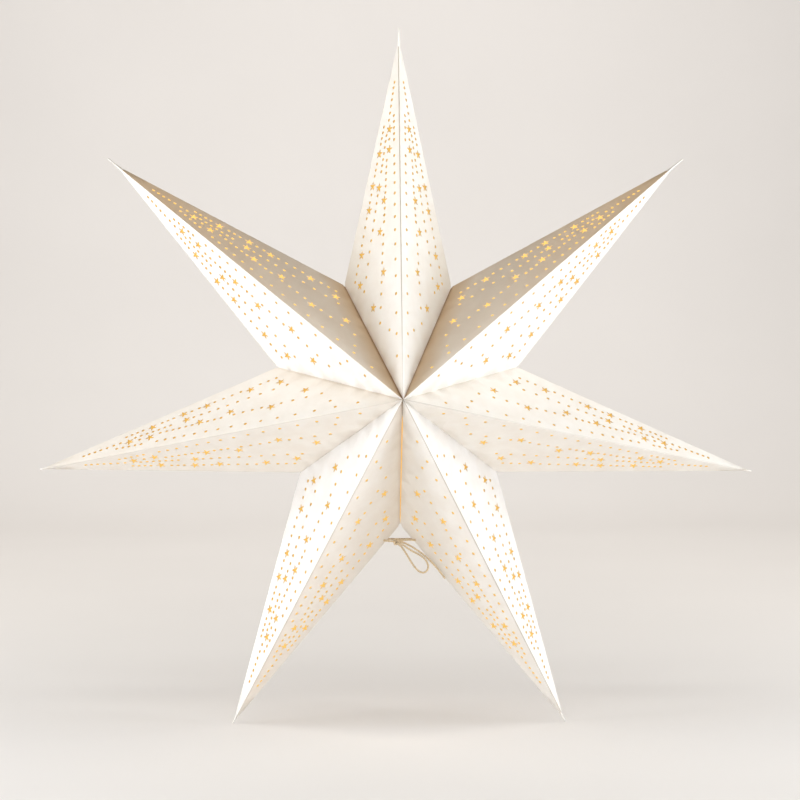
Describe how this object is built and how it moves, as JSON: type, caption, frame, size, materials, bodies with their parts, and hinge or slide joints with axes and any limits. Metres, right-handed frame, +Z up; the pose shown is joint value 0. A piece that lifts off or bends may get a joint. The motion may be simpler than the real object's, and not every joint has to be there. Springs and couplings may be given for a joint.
{
  "type": "paper star lamp",
  "caption": "Folded paper star lamp with long hollow points, pierced with dots and small stars over a yellow lining, its opening seam tied with a twine bow around a small lamp holder.",
  "frame": {"origin": "On the plane that the two lower tips touch, midway between them, under the middle of the star's box.", "axes": "+Z up to the upper tip, -Y the front of the star, +X to the right seen from the front."},
  "size_m": [0.5852, 0.19, 0.5706],
  "materials": {
    "white_paper": "uncoated white craft paper, fine mottle, pierced",
    "yellow_lining": "thin translucent yellow paper",
    "twine": "thin twisted tan twine",
    "holder_plastic": "plain moulded white plastic",
    "bulb_glass": "frosted glass bulb with a metal screw cap"
  },
  "bodies": {
    "root": {"point_1": "white_paper", "point_2": "white_paper", "point_3": "white_paper", "point_4": "white_paper", "point_5": "white_paper", "point_6": "white_paper", "point_7": "white_paper", "lining_1": "yellow_lining", "lining_2": "yellow_lining", "lining_3": "yellow_lining", "lining_4": "yellow_lining", "lining_5": "yellow_lining", "lining_6": "yellow_lining", "lining_7": "yellow_lining", "tie_band": "twine", "tie_bow": "twine", "tie_tail": "twine", "tie_knot": "twine", "lamp_holder": "holder_plastic", "bulb": "bulb_glass"}
  },
  "joints": []
}
